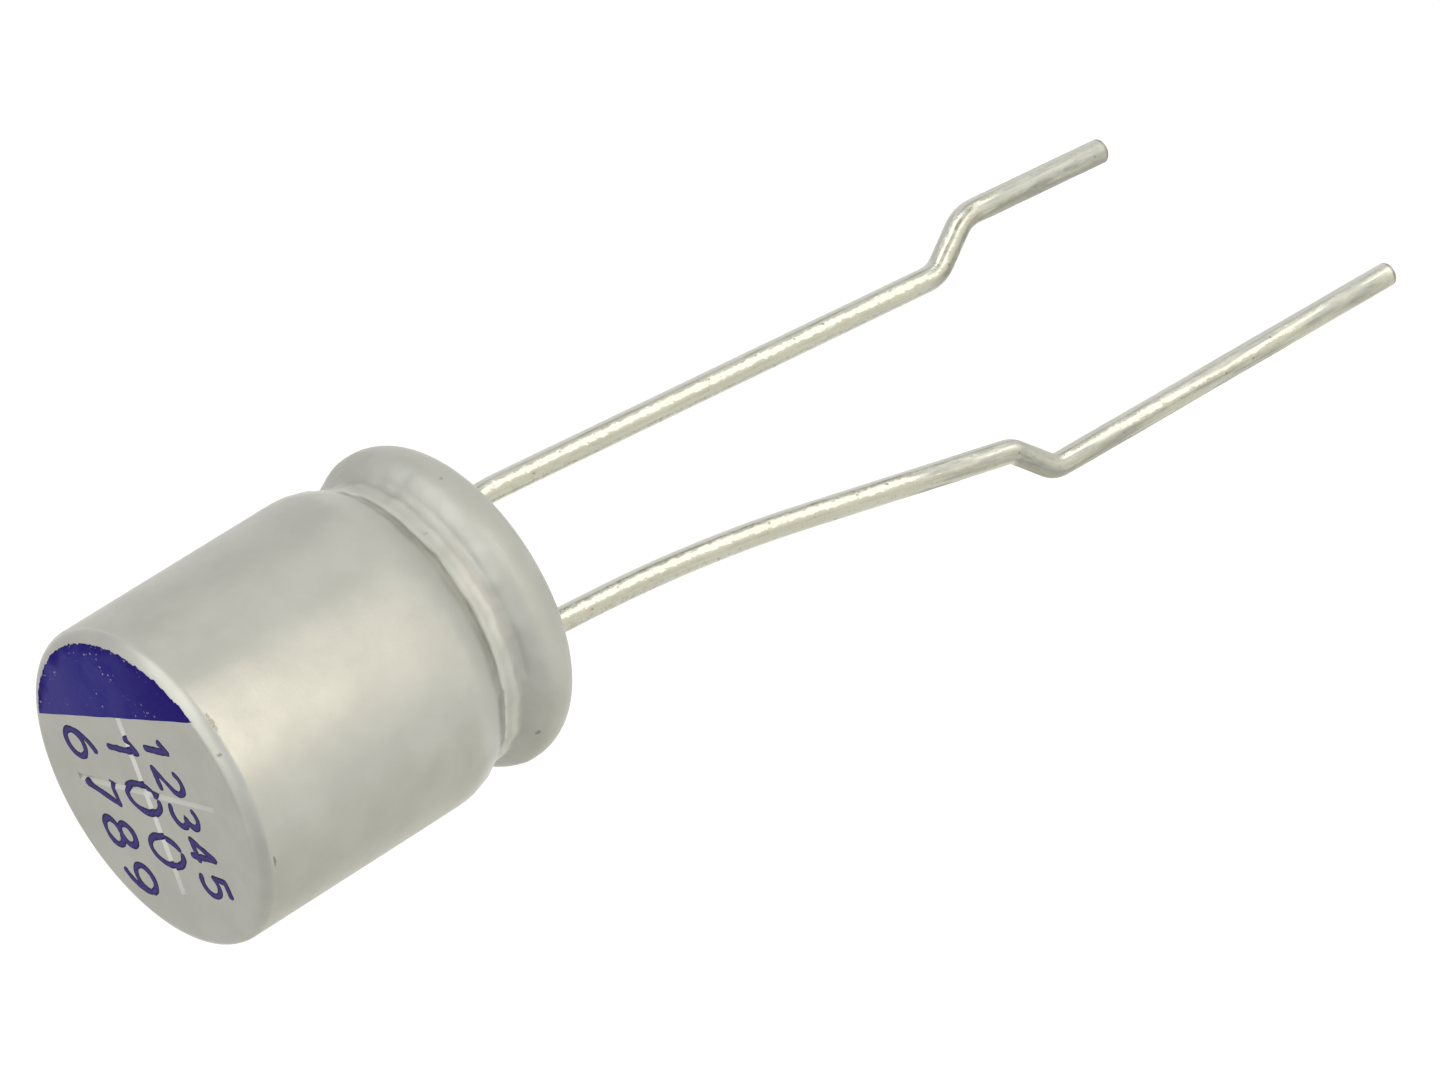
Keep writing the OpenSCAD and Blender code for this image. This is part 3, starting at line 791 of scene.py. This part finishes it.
def makeLead(node, tab, tree, finish, form):
    wireForm = form[node]
    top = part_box(node)[1].z / mm
    tabLow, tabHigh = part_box(tab)
    start = ((tabLow.x + tabHigh.x) / 2 / mm, 0, top)
    bends = [(top + form["stub"], wireForm["lean"], form["leanRadius"])] + wireForm["bends"]
    route = formedRoute(start, bends, form["step"])
    # closer points at the tip, for its rounding
    total, ending, rings = route[-1][1], form["tipRound"], form["tipRings"]
    tip, before = route[-1][0], route[-2][0]
    heading = (tip - before).normalized()
    route = [entry for entry in route if entry[1] < total - ending]
    for i in range(rings + 1):
        left = ending * (1 - i / rings)
        route.append((tip - heading * left, total - left))
    girth, dull, tips, paintedKinkMasks = [], [], [], []
    kinkStart, kinkEnd = wireForm["kink"]
    for spot, length in route:
        close = max(0.0, 1 - (total - length) / ending)
        girth.append(1 - (1 - form["tipScale"]) * close ** 2)
        tips.append(max(0.0, 1 - (total - length) / form["burr"]))
        kink = ramp(min(length - kinkStart, kinkEnd - length), 0.0, form["kinkFade"])
        paintedKinkMasks.append(wireForm["kinkCrease"] * kink)
        tail = ramp(length, wireForm["dullFrom"], wireForm["dullFrom"] + form["dullFade"])
        dull.append(max(wireForm["dull"] * tail, wireForm["kinkDull"] * kink))
    source = chainObject(node + "Route", [[spot * mm for spot, length in route]],
                         along=[length * mm for spot, length in route], girth=girth, dull=dull, tip=tips,
                         kinkCrease=paintedKinkMasks)
    sizes = {"Radius": form["radius"] * mm, "Sides": form["sides"], "Lumps": form["lumps"] * mm,
             "Lump Size": form["lumpSize"] * mm, "Material": finish}
    wire = growPiece(node.replace("_lead", "Wire"), source, tree, sizes)
    leadLight.objects.link(wire)
    placePiece(wire, "lead_tin", node)


wireTree = makeWireTree(leadSettings)
tinnedWire = makeLeadFinish(leadSettings["finish"])
makeLead("anode_lead", "anode_tab", wireTree, tinnedWire, leadSettings)
makeLead("cathode_lead", "cathode_tab", wireTree, tinnedWire, leadSettings)

# Polarity mark: a printed segment on the closed end
markSettings = {   # millimetres
    "chord": 1.88, "radius": 3.765, "shift": -0.07, "ink": 0.006, "rows": 260, "columns": 14,
    "inset": 0.03, "least": 0.004, "jag": 0.045, "jagSize": 0.11, "fineJag": 0.5, "finePitch": 2.7,
    "soft": 0.012, "softSize": 0.5, "seeds": (3.7, 9.1, 1.3),
    "finish": {
        "blue": (0.025, 0.0215, 0.162), "roughness": (0.45, 0.6), "roughnessSize": 0.15, "shine": 0.01,
        "paleBlue": (0.044, 0.039, 0.18), "paleSize": 0.7, "paleShare": 0.6, "paleEnd": (0.0, 2.0),
        "deepBlue": (0.016, 0.010, 0.122), "deepEnd": (0.3, -2.8),
        "rim": (3.4, 3.8), "rimSize": 0.5, "rimWaver": 0.15,
        "speck": (0.36, 0.37, 0.47), "specks": (0.1, 0.36, 0.34), "speckShare": 0.6,
        "speckPatch": (0.62, 0.95), "speckPatchSize": 0.8,
    },
}


def topLevel(radius):   # height of the can's skin over the flat end and the start of its crown
    crown = canSettings["crown"]
    flat = canRadius - crown
    if radius <= flat:
        return canHeight
    return canHeight - crown + math.sqrt(crown ** 2 - (radius - flat) ** 2)


def makeMark(form, finish):
    half = math.sqrt(form["radius"] ** 2 - form["chord"] ** 2)
    jagSeed, fineSeed, softSeed = form["seeds"]

    def waver(y, size, seed):
        return noise.noise(Vector((y / size, seed, 0)))

    sheets = []
    shape = bmesh.new()
    for side in (1, -1):   # upper and lower skin of the ink
        rows = []
        for i in range(form["rows"] + 1):
            y = -half * math.cos(math.pi * i / form["rows"])
            run = y + form["shift"]
            ragged = form["jag"] * waver(y, form["jagSize"], jagSeed)
            ragged += form["fineJag"] * form["jag"] * waver(y, form["jagSize"] / form["finePitch"], fineSeed)
            outer = math.sqrt(max(0.0, (form["radius"] - form["inset"] + ragged) ** 2 - y * y))
            inner = form["chord"] + form["soft"] * waver(y, form["softSize"], softSeed)
            outer = max(outer, inner + form["least"])
            line = []
            for j in range(form["columns"] + 1):
                x = inner + (outer - inner) * j / form["columns"]
                z = topLevel(math.hypot(x, run)) + side * form["ink"]
                line.append(shape.verts.new((x * mm, run * mm, z * mm)))
            rows.append(line)
        sheets.append(rows)
    rims = []
    for rows in sheets:
        for first, second in zip(rows, rows[1:]):
            for j in range(form["columns"]):
                shape.faces.new((first[j], first[j + 1], second[j + 1], second[j]))
        rims.append(rows[0] + [row[-1] for row in rows[1:-1]] + rows[-1][::-1]
                    + [row[0] for row in rows[-2:0:-1]])
    upper, lower = rims
    for i in range(len(upper)):
        k = (i + 1) % len(upper)
        shape.faces.new((upper[i], upper[k], lower[k], lower[i]))
    mesh = bpy.data.meshes.new("polarityMark")
    shape.to_mesh(mesh)
    shape.free()
    mesh.materials.append(finish)
    placePiece(finishPiece("polarityMark", mesh), "can_aluminium")


def makeMarkFinish(look):
    material, tree, shader, spot = newFinish("markInk")
    # more ink at one end and towards the arc, less at the other end, and specks where it missed
    alongChord = splitAxes(tree, spot)["Y"]
    thin = grain(tree, spot, look["paleSize"], 0.0, look["paleShare"])
    thin = calc(tree, "MAXIMUM", thin, fade(tree, alongChord, *look["paleEnd"]))
    colour = blendColour(tree, thin, look["blue"], look["paleBlue"])
    waver = grain(tree, spot, look["rimSize"], -look["rimWaver"], look["rimWaver"])
    rim = fade(tree, calc(tree, "ADD", axisDistance(tree, spot), waver), *look["rim"])
    deep = calc(tree, "MAXIMUM", rim, fade(tree, alongChord, *look["deepEnd"]))
    colour = blendColour(tree, deep, colour, look["deepBlue"])
    patchy = fade(tree, grain(tree, spot, look["speckPatchSize"]), *look["speckPatch"])
    speck = product(tree, pits(tree, spot, *look["specks"]), patchy, look["speckShare"])
    colour = blendColour(tree, speck, colour, look["speck"])
    shader.inputs["Specular IOR Level"].default_value = look["shine"]
    coat(tree, shader, colour, grain(tree, spot, look["roughnessSize"], *look["roughness"]))
    return material


makeMark(markSettings, makeMarkFinish(markSettings["finish"]))

# Printed figures: plain numerals drawn by a pen
figureSettings = {   # millimetres
    "rows": {   # first figure's centre, reading along -X with its top towards -Y
        "upperRow": {"figures": "12345", "x": 1.19, "y": -1.25, "pitch": 0.88, "height": 0.95},
        "middleRow": {"figures": "100", "x": 1.18, "y": 0.2, "pitch": 1.34, "height": 1.2},
        "lowerRow": {"figures": "6789", "x": 1.15, "y": 1.9, "pitch": 1.13, "height": 1.1},
    },
    "width": 0.185, "ink": 0.006, "step": 0.02, "slant": 0.12, "arcStep": 9.0,
    "waver": 0.5, "waverSize": 0.4, "waverDetail": 2.0, "nibSides": 12, "leastEnd": 0.02,
    "middle": (0.31, 0.5),   # of a figure in a box one high
    "strokes": {   # corners as (x, y), arcs as (centre x, centre y, radius x, radius y, start, end)
        "0": [(0.31, 0.5, 0.31, 0.5, 100, 460)],
        "1": [(0.1, 0.72), (0.4, 1.0), (0.4, 0.0)],
        "2": [(0.31, 0.7, 0.29, 0.3, 165, -35), (0.0, 0.0), (0.62, 0.0)],
        "3": [(0.29, 0.755, 0.27, 0.245, 150, -80), (0.29, 0.265, 0.31, 0.265, 80, -150)],
        "4": [(0.46, 0.0), (0.46, 1.0), (0.0, 0.3), (0.64, 0.3)],
        "5": [(0.58, 1.0), (0.12, 1.0), (0.06, 0.55), (0.28, 0.32, 0.31, 0.32, 125, -145)],
        "6": [(0.64, 0.3, 0.64, 0.7, 105, 180), (0.31, 0.3, 0.31, 0.3, 180, 540)],
        "7": [(0.02, 1.0), (0.6, 1.0), (0.2, 0.0)],
        "8": [(0.31, 0.76, 0.25, 0.24, -90, 270), (0.31, 0.26, 0.31, 0.26, 90, 450)],
        "9": [(0.31, 0.7, 0.31, 0.3, 0, 360), (-0.02, 0.7, 0.64, 0.7, 0, -75)],
    },
    "finish": {
        "core": (0.052, 0.041, 0.165), "edge": (0.029, 0.026, 0.055),
        "rim": (0.3, 0.8), "rimSize": 0.12, "rimWaver": 0.25,
        "roughness": (0.45, 0.6), "roughnessSize": 0.1, "shine": 0.01,
    },
}


def strokePoints(stroke, step):
    points = []
    for item in stroke:
        if len(item) == 2:
            points.append(item)
            continue
        x, y, wide, tall, start, end = item
        points += [(x + wide * px, y + tall * py) for px, py in arcPoints((0, 0), 1.0, start, end, step)]
    return points


def makePenTree(form):
    tree, given, result = newGroup(
        "penStroke", "GeometryNodeTree",
        {"Strokes": "Geometry", "Width": 0.0002, "Ink": 0.00001, "Step": 0.00002, "Waver": 0.2,
         "Waver Size": 0.0004, "Nib Sides": 12, **scoreSizes, "Material": "Material"},
        {"Geometry": "Geometry"})
    line = put(tree, "GeometryNodeMeshToCurve", {"Mesh": given["Strokes"]})
    line = put(tree, "GeometryNodeResampleCurve",
               {"Curve": line.outputs[0], "Length": given["Step"]}, mode="LENGTH")
    line = put(tree, "GeometryNodeSetCurveNormal", {"Curve": line.outputs[0]}, mode="Z_UP")
    nib = put(tree, "GeometryNodeCurvePrimitiveCircle",
              {"Resolution": given["Nib Sides"], "Radius": 1.0}, mode="RADIUS")
    half = calc(tree, "DIVIDE", given["Width"], 2.0)
    pen = put(tree, "GeometryNodeTransform",
              {"Geometry": storeVector(tree, nib.outputs["Curve"], "nib", position(tree)),
               "Scale": joinAxes(tree, half, given["Ink"], 1.0)})
    # round ends, and a width that wavers as the pen presses
    passed = put(tree, "GeometryNodeSplineParameter").outputs["Length"]
    whole = put(tree, "GeometryNodeSplineLength").outputs["Length"]
    toEnd = calc(tree, "MINIMUM", passed, calc(tree, "SUBTRACT", whole, passed))
    share = calc(tree, "MINIMUM", calc(tree, "DIVIDE", toEnd, half), 1.0)
    drop = calc(tree, "POWER", calc(tree, "SUBTRACT", 1.0, share), 2.0)
    cap = calc(tree, "SQRT", calc(tree, "MAXIMUM", calc(tree, "SUBTRACT", 1.0, drop), form["leastEnd"]))
    scale = calc(tree, "DIVIDE", 1.0, given["Waver Size"])
    cloud = put(tree, "ShaderNodeTexNoise", {"Scale": scale, "Detail": form["waverDetail"]}).outputs["Fac"]
    swing = product(tree, calc(tree, "SUBTRACT", cloud, 0.5), product(tree, given["Waver"], 2.0))
    press = calc(tree, "ADD", 1.0, swing)
    swept = put(tree, "GeometryNodeCurveToMesh",
                {"Curve": line.outputs[0], "Profile Curve": pen.outputs[0],
                 "Scale": product(tree, cap, press), "Fill Caps": True})
    return dress(tree, given, result, followScores(tree, given, swept.outputs[0]))


def makeFigureFinish(look):
    material, tree, shader, spot = newFinish("figureInk")
    across = calc(tree, "ABSOLUTE", splitAxes(tree, carried(tree, "nib", "Vector"))["X"])
    waver = grain(tree, spot, look["rimSize"], -look["rimWaver"], look["rimWaver"])
    rim = fade(tree, calc(tree, "ADD", across, waver), *look["rim"])
    colour = blendColour(tree, rim, look["core"], look["edge"])
    shader.inputs["Specular IOR Level"].default_value = look["shine"]
    coat(tree, shader, colour, grain(tree, spot, look["roughnessSize"], *look["roughness"]))
    return material


def makeFigures(form):
    tree = makePenTree(form)
    sizes = {"Width": form["width"] * mm, "Ink": form["ink"] * mm, "Step": form["step"] * mm,
             "Waver": form["waver"], "Waver Size": form["waverSize"] * mm, "Nib Sides": form["nibSides"],
             "Material": makeFigureFinish(form["finish"]), **scoreSizes}
    middleX, middleY = form["middle"]
    for rowName, row in form["rows"].items():
        chains = []
        for index, figure in enumerate(row["figures"]):
            chain = []
            for u, v in strokePoints(form["strokes"][figure], form["arcStep"]):
                rise = (v - middleY) * row["height"]
                across = (u - middleX) * row["height"] + form["slant"] * rise + index * row["pitch"]
                chain.append(((row["x"] - across) * mm, (row["y"] - rise) * mm, canHeight * mm))
            chains.append(chain)
        placePiece(growPiece(rowName, chainObject(rowName + "Strokes", chains), tree, sizes), "can_aluminium")


makeFigures(figureSettings)

# Finishes of the pieces that keep their solids
solidSettings = {   # millimetres; stretch as (across, along), pits as (spacing, reach, share of the cells)
    "sealRubber": {
        "nodes": ["seal"], "slot": "seal_rubber", "metallic": 0.0, "stretch": (1.0, 1.0),
        "colour": (0.016, 0.016, 0.017), "shade": (0.035, 0.034, 0.032), "shadeSize": 0.5,
        "pit": (0.12, 0.115, 0.105), "pits": (0.25, 0.2, 0.15),
        "roughness": (0.55, 0.75), "roughnessSize": 0.12, "bumpSize": 0.05, "bumpDepth": 0.004 * mm},
    "separatorPaper": {
        "nodes": ["winding"], "slot": "separator_paper", "metallic": 0.0, "stretch": (3.0, 0.6),
        "colour": (0.56, 0.48, 0.36), "shade": (0.42, 0.34, 0.24), "shadeSize": 0.3,
        "roughness": (0.75, 0.95), "roughnessSize": 0.2, "bumpSize": 0.3, "bumpDepth": 0.01 * mm},
    "closingTape": {
        "nodes": ["winding_tape"], "slot": "closing_tape", "metallic": 0.0, "stretch": (1.0, 1.0),
        "colour": (0.60, 0.40, 0.12), "shade": (0.48, 0.30, 0.08), "shadeSize": 0.8,
        "roughness": (0.22, 0.38), "roughnessSize": 0.3, "bumpSize": 0.4, "bumpDepth": 0.003 * mm},
    "tabAluminium": {
        "nodes": ["anode_tab", "cathode_tab"], "slot": "tab_aluminium", "metallic": 1.0,
        "stretch": (12.0, 0.8), "colour": (0.72, 0.72, 0.70), "shade": (0.60, 0.60, 0.57), "shadeSize": 1.0,
        "roughness": (0.28, 0.42), "roughnessSize": 0.15, "bumpSize": 1.0, "bumpDepth": 0.003 * mm},
}


def makeSolidFinish(name, look):
    material, tree, shader, spot = newFinish(name, look["metallic"])
    drawn = stretched(tree, spot, *look["stretch"])
    colour = blendColour(tree, grain(tree, drawn, look["shadeSize"]), look["colour"], look["shade"])
    if "pits" in look:
        colour = blendColour(tree, pits(tree, spot, *look["pits"]), colour, look["pit"])
    roughness = grain(tree, spot, look["roughnessSize"], *look["roughness"])
    coat(tree, shader, colour, roughness, grain(tree, drawn, look["bumpSize"]), look["bumpDepth"])
    return material


for finishName, look in solidSettings.items():
    finish = makeSolidFinish(finishName, look)
    for node in look["nodes"]:
        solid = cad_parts[node]
        for materialSlot in solid.material_slots:
            materialSlot.material = finish
    print("dressed", ", ".join(look["nodes"]), "with", finishName)
